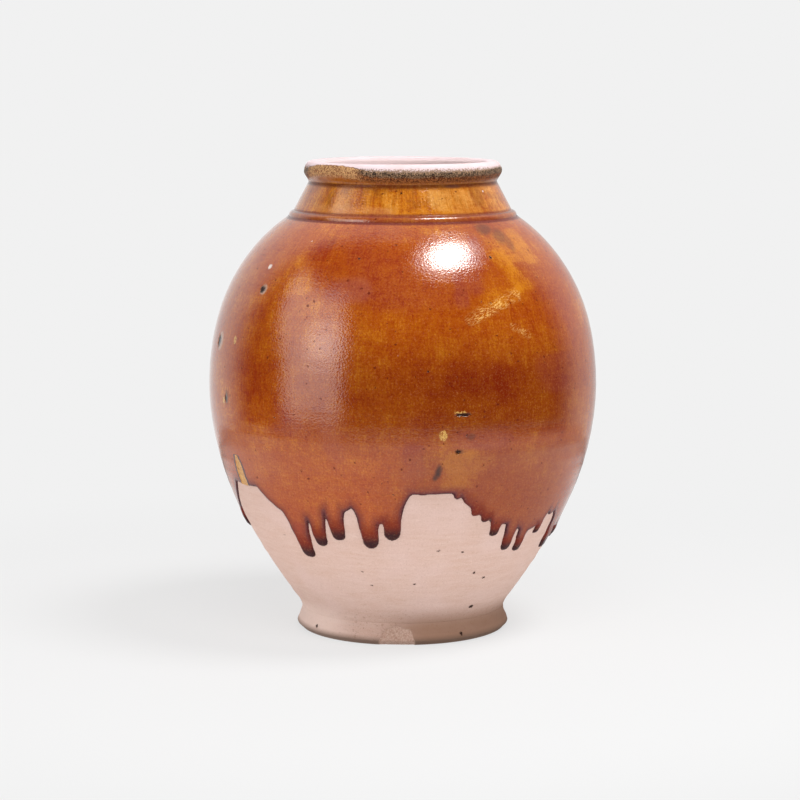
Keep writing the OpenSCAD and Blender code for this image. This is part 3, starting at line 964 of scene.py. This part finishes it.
def glaze_edges(s, colour, inside, tip, z):
    """Redder towards the lower edge, then a purple-black line, and near black on thick tips."""
    lower = s.fade(z, 200.0, 130.0)
    red = s.fade(inside, 7.5, 1.5, 0.0, 0.75)
    colour = s.mix(s.math("MULTIPLY", red, lower), colour, (0.175, 0.018, 0.007))
    purple = s.fade(inside, 2.8, 0.9, 0.0, 0.8)
    colour = s.mix(s.math("MULTIPLY", purple, lower), colour, (0.085, 0.016, 0.024))
    dark = s.fade(inside, 1.15, 0.3, 0.0, 0.85)
    colour = s.mix(s.math("MULTIPLY", dark, lower), colour, (0.034, 0.009, 0.016))
    colour = s.mix(s.fade(tip, 0.02, 0.6, 0.0, 0.88), colour, (0.165, 0.018, 0.008))
    return s.mix(s.fade(tip, 0.45, 0.82, 0.0, 0.96), colour, (0.026, 0.008, 0.012))


def neck_colour(s, colour, tone, z, medium, streaks):
    """A purple-red line over the bead, a darker groove under the lip and browner lip."""
    bead = s.math("MULTIPLY", s.fade(z, 268.0, 269.4), s.fade(z, 274.6, 272.6))
    colour = s.mix(s.math("MULTIPLY", bead, 0.45), colour, (0.22, 0.050, 0.032))
    below = s.math("MULTIPLY", s.fade(z, 267.9, 268.9), s.fade(z, 270.4, 269.5))
    above = s.math("MULTIPLY", s.fade(z, 272.3, 273.2), s.fade(z, 275.4, 274.0))
    lines = s.math("ADD", below, s.math("MULTIPLY", above, 0.8), clamp=True)
    colour = s.mix(s.math("MULTIPLY", lines, 0.8), colour, (0.115, 0.018, 0.020))
    groove = s.math("MULTIPLY", s.fade(z, 288.9, 291.2), s.fade(z, 293.2, 292.0))
    colour = s.mix(s.math("MULTIPLY", groove, 0.85), colour, (0.085, 0.013, 0.008))
    soft = s.math("MULTIPLY_ADD", streaks, 0.35, s.math("MULTIPLY", medium, 0.65))
    brown = s.math("MULTIPLY", s.fade(z, 274.0, 281.0), s.fade(soft, 0.58, 0.36))
    colour = s.mix(s.math("MULTIPLY", brown, 0.55), colour, (0.27, 0.085, 0.010))
    pale = s.math("MULTIPLY", s.fade(z, 273.0, 279.0), s.fade(z, 291.0, 287.5))
    pale = s.math("MULTIPLY", pale, s.fade(tone, 0.9, 1.9, 0.0, 0.5))
    colour = s.mix(pale, colour, (0.74, 0.40, 0.105))
    lip = s.fade(z, 292.4, 293.8)
    colour = s.mix(s.math("MULTIPLY", lip, 0.6), colour, (0.37, 0.115, 0.022))
    return colour, s.math("MAXIMUM", lines, groove)


def crust(s, position, inside, z):
    """Where the wiped glaze dried to a speckled crust along the lip, and its colour.

    It is an olive grey band at the edge that turns brown lower down, and ochre on the lobes.
    """
    fine = s.noise(position, 1.0, 2.0, 0.9)
    blot = s.noise(position, 0.30, 3.0, 0.7)
    lobe = s.attribute("lobe")
    ragged = s.math("MULTIPLY_ADD", s.math("SUBTRACT", fine, 0.5), 4.0, inside)
    ragged = s.math("MULTIPLY_ADD", s.math("SUBTRACT", blot, 0.5), 2.5, ragged)
    share = s.math("MULTIPLY", s.fade(ragged, 8.8, 5.6), s.fade(z, 291.6, 294.0))
    band = s.math("MULTIPLY", s.fade(ragged, 3.9, 2.5), s.math("MULTIPLY_ADD", lobe, -0.8, 1.0))
    speckle = s.math("MULTIPLY_ADD", s.math("SUBTRACT", blot, 0.5), 0.25, fine)
    brown = s.mix(s.fade(speckle, 0.44, 0.52), (0.43, 0.150, 0.045), (0.105, 0.032, 0.012))
    ochre = s.mix(s.fade(speckle, 0.46, 0.55), (0.68, 0.38, 0.160), (0.25, 0.090, 0.034))
    olive = s.mix(s.fade(speckle, 0.44, 0.52), (0.33, 0.195, 0.110), (0.045, 0.028, 0.018))
    colour = s.mix(lobe, brown, ochre)
    colour = s.mix(band, colour, olive)
    edge = s.math("MULTIPLY", s.fade(inside, 0.9, 0.2), s.math("MULTIPLY", lobe, 0.75))
    return share, s.mix(edge, colour, (0.085, 0.048, 0.030)), fine


def specks(s, position):
    """Small scattered dark specks of many sizes: 1 inside one."""
    cells = s.node("ShaderNodeTexVoronoi", {"Vector": position, "Scale": 0.24})
    chance = s.node("ShaderNodeSeparateColor", {0: cells.outputs["Color"]}).outputs[0]
    size = s.math("MULTIPLY", s.math("MULTIPLY", chance, chance), 0.21)
    gap = s.math("SUBTRACT", size, cells.outputs["Distance"])
    return s.fade(gap, -0.01, 0.03)


def glaze_material():
    """Glossy amber glaze: brushed mottle, red where thick, yellow where thin, dark edges, and painted shade over the
    belly.
    """
    s = Shader("amber_glaze")
    position, z, sine, cosine = jar_coordinates(s)
    inside = s.attribute("inside")
    thin = s.attribute("thin")
    haze = s.attribute("haze")
    weave, streaks, bands, grain = glaze_weave(s, position, sine, cosine, z)
    tone, cloud, medium = glaze_tone(s, position, z, weave)
    colour = glaze_colour(s, tone)
    # Painted shade: the belly's glaze is darkened towards near black, most on the right and low down on the right,
    # and least on the far left.
    belly = s.math("MULTIPLY", s.fade(z, 118, 150), s.fade(z, 215, 172, 0.42, 1.0))
    belly = s.math("MULTIPLY", belly, s.fade(sine, -0.75, -0.1, 0.3, 1.0))
    low_right_shade = s.math("MULTIPLY", s.fade(z, 150, 128), s.fade(sine, -0.22, 0.12, 0.0, 0.85))
    belly = s.math("MAXIMUM", belly, low_right_shade)
    side_shade = s.math("MULTIPLY", s.fade(sine, -0.1, 0.35, 0.40, 0.52), s.fade(sine, 0.97, 0.75, 0.4, 1.0))
    colour = s.mix(s.math("MULTIPLY", belly, side_shade), colour, (0.060, 0.003, 0.0005))
    colour = s.mix(s.fade(z, 150.0, 118.0, 0.0, 0.35), colour, (0.33, 0.068, 0.022))
    colour = s.mix(s.math("MULTIPLY", haze, 0.8), colour, (0.36, 0.10, 0.065))
    colour, grooved = neck_colour(s, colour, tone, z, medium, streaks)
    colour = glaze_edges(s, colour, inside, s.attribute("tip"), z)
    rim = s.math("MULTIPLY", s.fade(thin, -3.4, -1.9), s.fade(thin, 0.1, -0.7))
    colour = s.mix(s.math("MULTIPLY", rim, 0.85), colour, (0.05, 0.014, 0.020))
    thin_share = s.fade(thin, -0.4, 0.3)
    yellow = s.mix(s.fade(grain, 0.4, 0.6), (0.66, 0.36, 0.085), (0.48, 0.20, 0.04))
    colour = s.mix(thin_share, colour, yellow)
    grit = s.noise(position, 0.8, 3.0, 0.9)
    colour = s.mix(s.fade(grit, 0.48, 0.30, 0.0, 0.15), colour, (0.74, 0.36, 0.14))
    colour = s.mix(s.fade(grit, 0.52, 0.70, 0.0, 0.42), colour, (0.13, 0.016, 0.001))
    ragged = warped(s, position)
    dotted = specks(s, ragged)
    colour = s.mix(s.math("MULTIPLY", dotted, 0.75), colour, (0.10, 0.013, 0.006))
    smoke = s.math("MULTIPLY", s.attribute("smoke"), s.fade(grain, 0.25, 0.6, 0.5, 1.0))
    colour = s.mix(s.math("MULTIPLY", smoke, 0.8, clamp=True), colour, (0.075, 0.036, 0.030))
    gold = spots(s, ragged, YELLOW_MARKS)
    gold = s.math("MULTIPLY", s.fade(gold, 0.05, 0.4), s.fade(grit, 0.58, 0.46))
    colour = s.mix(gold, colour, (0.64, 0.38, 0.10))
    slant = s.node("ShaderNodeVectorRotate", {"Vector": position, "Angle": math.radians(30)},
                   rotation_type="Y_AXIS").outputs[0]
    lines = s.noise(s.vector("MULTIPLY", slant, (0.22, 0.5, 1.3)), 1.0, 2.0, 0.8)
    patchy = s.math("MULTIPLY", s.attribute("scratch"), s.fade(medium, 0.36, 0.56, 0.35, 1.0))
    scratched = s.math("MULTIPLY", patchy, s.fade(lines, 0.46, 0.62))
    colour = s.mix(s.math("MULTIPLY", scratched, 0.75), colour, (0.82, 0.50, 0.15))
    pale = spots(s, ragged, PALE_MARKS)
    colour = s.mix(s.fade(pale, 0.1, 0.4), colour, (0.74, 0.62, 0.55))
    rims = s.fade(spots(s, ragged, CHIPPED_RIMS), 0.05, 0.35, 0.0, 0.7)
    colour = s.mix(rims, colour, (0.50, 0.30, 0.20))
    pit = spots(s, ragged, DARK_PITS)
    colour = s.mix(s.fade(pit, 0.05, 0.5), colour, (0.030, 0.012, 0.008))
    crusted, crust_colour, fine = crust(s, position, inside, z)
    colour = s.mix(crusted, colour, crust_colour)
    ripple = s.noise(s.vector("MULTIPLY", position, (0.9, 0.9, 1.2)), 0.92, 0.0, 0.5)
    height = s.math("MULTIPLY", grain, 0.035)
    height = s.math("MULTIPLY_ADD", grit, 0.02, height)
    height = s.math("MULTIPLY_ADD", ripple, 0.082, height)
    height = s.math("MULTIPLY_ADD", streaks, 0.012, height)
    height = s.math("MULTIPLY_ADD", bands, 0.014, height)
    height = s.math("MULTIPLY_ADD", medium, 0.03, height)
    height = s.math("MULTIPLY_ADD", s.fade(pit, 0.0, 0.6), -0.7, height)
    height = s.math("MULTIPLY_ADD", s.math("MULTIPLY", crusted, fine), 0.5, height)
    normal = s.bump(height, MM)
    rough = s.math("MULTIPLY_ADD", crusted, 0.45, 0.07)
    rough = s.math("MULTIPLY_ADD", haze, 0.12, rough)
    rough = s.math("MULTIPLY_ADD", thin_share, 0.25, rough)
    principled = s.node(
        "ShaderNodeBsdfPrincipled",
        {"Base Color": colour, "IOR": 1.6, "Normal": normal, "Roughness": rough},
    )
    lower = s.fade(z, 200.0, 130.0)
    dulled = s.math("MULTIPLY", s.fade(inside, 1.8, 0.3, 0.0, 0.34), lower)
    dulled = s.math("MAXIMUM", dulled, s.fade(s.attribute("tip"), 0.0, 0.5, 0.0, 0.32))
    marked = s.math("MAXIMUM", s.math("MULTIPLY", dotted, 0.3), s.fade(pit, 0.0, 0.4, 0.0, 0.4))
    marked = s.math("MAXIMUM", marked, s.math("MULTIPLY", crusted, 0.38))
    marked = s.math("MAXIMUM", marked, s.math("MULTIPLY", grooved, 0.42))
    marked = s.math("MAXIMUM", marked, s.math("MULTIPLY", smoke, 0.25))
    level = s.math("SUBTRACT", 0.5, s.math("MAXIMUM", dulled, marked))
    s.tree.links.new(level, principled.inputs["Specular IOR Level"])
    return s.finish(principled.outputs[0])


# Stage


BACKDROP = 0.879
AMBIENT = 0.40
FLOOR_BOUNCE = 1.35


def camera():
    """The camera at the photo's angle: 1.7 m away and 382 mm up, with a long lens."""
    data = bpy.data.cameras.new("camera")
    data.lens = 117.9
    data.sensor_width = 36
    made = bpy.data.objects.new("camera", data)
    bpy.context.scene.collection.objects.link(made)
    made.location = (-0.00177, -1.7, 0.3821)
    drop = math.atan2(0.3821 - 0.14864, 1.7)
    made.rotation_euler = (math.pi / 2 - drop, 0, 0)
    bpy.context.scene.camera = made


def floor():
    """A round pale floor that takes a faint shadow and fades into the backdrop."""
    rings = np.array([0.0, 0.15, 0.3, 0.45, 0.6])[:, None]
    angle = np.linspace(0, 2 * math.pi, 96, endpoint=False)[None]
    spread = np.broadcast_to(rings, (5, 96))
    grid = np.stack([spread * np.sin(angle), -spread * np.cos(angle), 0 * spread], -1)
    index = np.arange(5 * 96).reshape(5, 96)
    below, above = index[1:-1], index[2:]
    quads = np.stack([below, above, np.roll(above, -1, 1), np.roll(below, -1, 1)], -1)
    mesh = bpy.data.meshes.new("floor_disc_stage")
    faces = quads.reshape(-1, 4)[:, ::-1].tolist() + [index[1].tolist()]
    mesh.from_pydata(grid.reshape(-1, 3).tolist(), [], faces)
    s = Shader("pale_floor")
    position = s.node("ShaderNodeTexCoord").outputs["Object"]
    away = s.vector("LENGTH", position)
    plain = s.node("ShaderNodeEmission", {"Color": (1, 1, 1, 1), "Strength": BACKDROP})
    path = s.node("ShaderNodeLightPath").outputs
    strength = s.math("MULTIPLY_ADD", path["Is Diffuse Ray"], FLOOR_BOUNCE - 0.665, 0.665)
    # Painted shadow: near the foot the floor glows less, as in the jar's shadow, both in the light it sends onto the
    # jar and in the glaze's reflections of it.
    shade = s.math("MULTIPLY", path["Is Diffuse Ray"], s.fade(away, 0.16, 0.07, 0.0, 0.60))
    mirrored_foot_shadow = s.fade(away, 0.42, 0.10, 0.0, 0.62)
    far_off = s.fade(away, 0.36, 0.60, 0.0, 0.85)
    mirror = s.math("MULTIPLY", path["Is Glossy Ray"], s.math("ADD", mirrored_foot_shadow, far_off))
    shade = s.math("SUBTRACT", 1.0, s.math("ADD", shade, mirror), clamp=True)
    strength = s.math("MULTIPLY", strength, shade)
    glow = s.node("ShaderNodeEmission", {"Color": (1, 1, 1, 1), "Strength": strength})
    matt = s.node("ShaderNodeBsdfDiffuse", {"Color": (0.19, 0.19, 0.19, 1)})
    near = s.node("ShaderNodeAddShader", {0: glow.outputs[0], 1: matt.outputs[0]})
    share = s.math("MULTIPLY", s.fade(away, 0.30, 0.56), s.math("SUBTRACT", 1.0, path["Is Glossy Ray"]))
    both = s.node("ShaderNodeMixShader", {0: share, 1: near.outputs[0], 2: plain.outputs[0]})
    mesh.materials.append(s.finish(both.outputs[0]))
    made = bpy.data.objects.new("floor_stage", mesh)
    bpy.context.scene.collection.objects.link(made)
    made.location.z = -0.0002


def panel(name, place, aim, size, power, glossy=True, diffuse=True):
    """An oval soft light at a place, facing a point."""
    data = bpy.data.lights.new(name, "AREA")
    data.shape = "ELLIPSE"
    data.size, data.size_y = size
    data.energy = power
    made = bpy.data.objects.new(name, data)
    bpy.context.scene.collection.objects.link(made)
    made.location = place
    way = np.array(aim, float) - np.array(place, float)
    level = math.atan2(way[2], math.hypot(way[0], way[1]))
    made.rotation_euler = (math.pi / 2 + level, 0, math.atan2(-way[0], way[1]))
    made.visible_glossy = glossy
    made.visible_diffuse = diffuse
    made.visible_camera = False
    return made


def smooth_box(s, value, low, high, soft):
    """1 between low and high, 0 outside, with soft sides."""
    rise = s.fade(value, low - soft, low + soft)
    fall = s.fade(value, high + soft, high - soft)
    return s.math("MULTIPLY", rise, fall)


class WorldShader(Shader):
    """The same node helpers for the scene's world."""

    def __init__(self):
        world = bpy.data.worlds.new("room")
        bpy.context.scene.world = world
        world.use_nodes = True
        self.tree = world.node_tree
        self.tree.nodes.clear()


def room():
    """The backdrop as the camera sees it, the room as the glaze mirrors it, and plain light."""
    s = WorldShader()
    way = s.node("ShaderNodeTexCoord").outputs["Generated"]
    parts = s.node("ShaderNodeSeparateXYZ", {0: s.vector("NORMALIZE", way)}).outputs
    turn = s.math("MULTIPLY", s.math("ARCTAN2", parts[0], s.math("MULTIPLY", parts[1], -1.0)), 57.2958)
    rise = s.math("MULTIPLY", s.math("ARCSINE", parts[2]), 57.2958)
    left = s.math("MULTIPLY_ADD", s.math("MAXIMUM", s.math("SUBTRACT", rise, 5.0), 0.0), 0.7, turn)
    right = s.math("MULTIPLY_ADD", s.math("MAXIMUM", s.math("SUBTRACT", rise, 26.0), 0.0), 0.5, turn)
    sides = s.math("MULTIPLY", s.fade(left, -79, -68), s.fade(right, -34, -40))
    window = s.math("MULTIPLY", sides, smooth_box(s, rise, -13, 43, 7))
    core = s.math("MULTIPLY", smooth_box(s, turn, -61, -40, 9), smooth_box(s, rise, 10, 27, 8))
    behind = s.fade(s.math("ABSOLUTE", turn), 100, 128)
    behind = s.math("MULTIPLY", behind, s.fade(turn, 60, -60, 0.70, 1.0))
    mirrored = s.math("MULTIPLY_ADD", window, 2.35, 0.03)
    mirrored = s.math("MULTIPLY_ADD", core, 2.8, mirrored)
    mirrored = s.math("MULTIPLY_ADD", behind, 0.98, mirrored)
    path = s.node("ShaderNodeLightPath").outputs
    light = s.mix(path["Is Glossy Ray"], (AMBIENT, AMBIENT, AMBIENT), mirrored)
    light = s.mix(path["Is Camera Ray"], light, (BACKDROP, BACKDROP, BACKDROP))
    background = s.node("ShaderNodeBackground", {"Color": light, "Strength": 1.0})
    s.node("ShaderNodeOutputWorld", {"Surface": background.outputs[0]})


def lights():
    """A soft box above to the right, and a large window to the left."""
    panel("soft_box", (0.525, -0.225, 1.55), (0, 0, 0.25), (0.60, 0.36), 15.0, diffuse=False)
    panel("soft_box_rim", (0.53, -0.23, 1.58), (0, 0, 0.25), (1.10, 0.66), 8.0, diffuse=False)
    panel("top_fill", (0.6, -0.25, 1.5), (0, 0, 0.2), (0.6, 0.5), 16.5, glossy=False)
    panel("front_fill", (0.0, -1.1, 1.5), (0, 0, 0.25), (1.0, 1.0), 10.2, glossy=False)
    panel("window_light", (-1.25, -0.75, 0.55), (0, 0, 0.16), (1.1, 1.1), 5.0, glossy=False)
    panel("right_fill", (1.2, -0.9, 0.4), (0, 0, 0.08), (1.1, 1.1), 3.5, glossy=False)


def build():
    """Makes every shown piece, then the stage."""
    clay = clay_material()
    lip = lip_material()
    foot_ring(clay)
    floor_disc(clay)
    lower_wall(clay)
    upper_wall(clay)
    neck_pieces(clay, lip)
    glaze(glaze_material())
    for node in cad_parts.values():
        node.hide_render = True
    camera()
    floor()
    lights()
    room()
    bpy.context.scene.view_settings.view_transform = "Standard"


build()
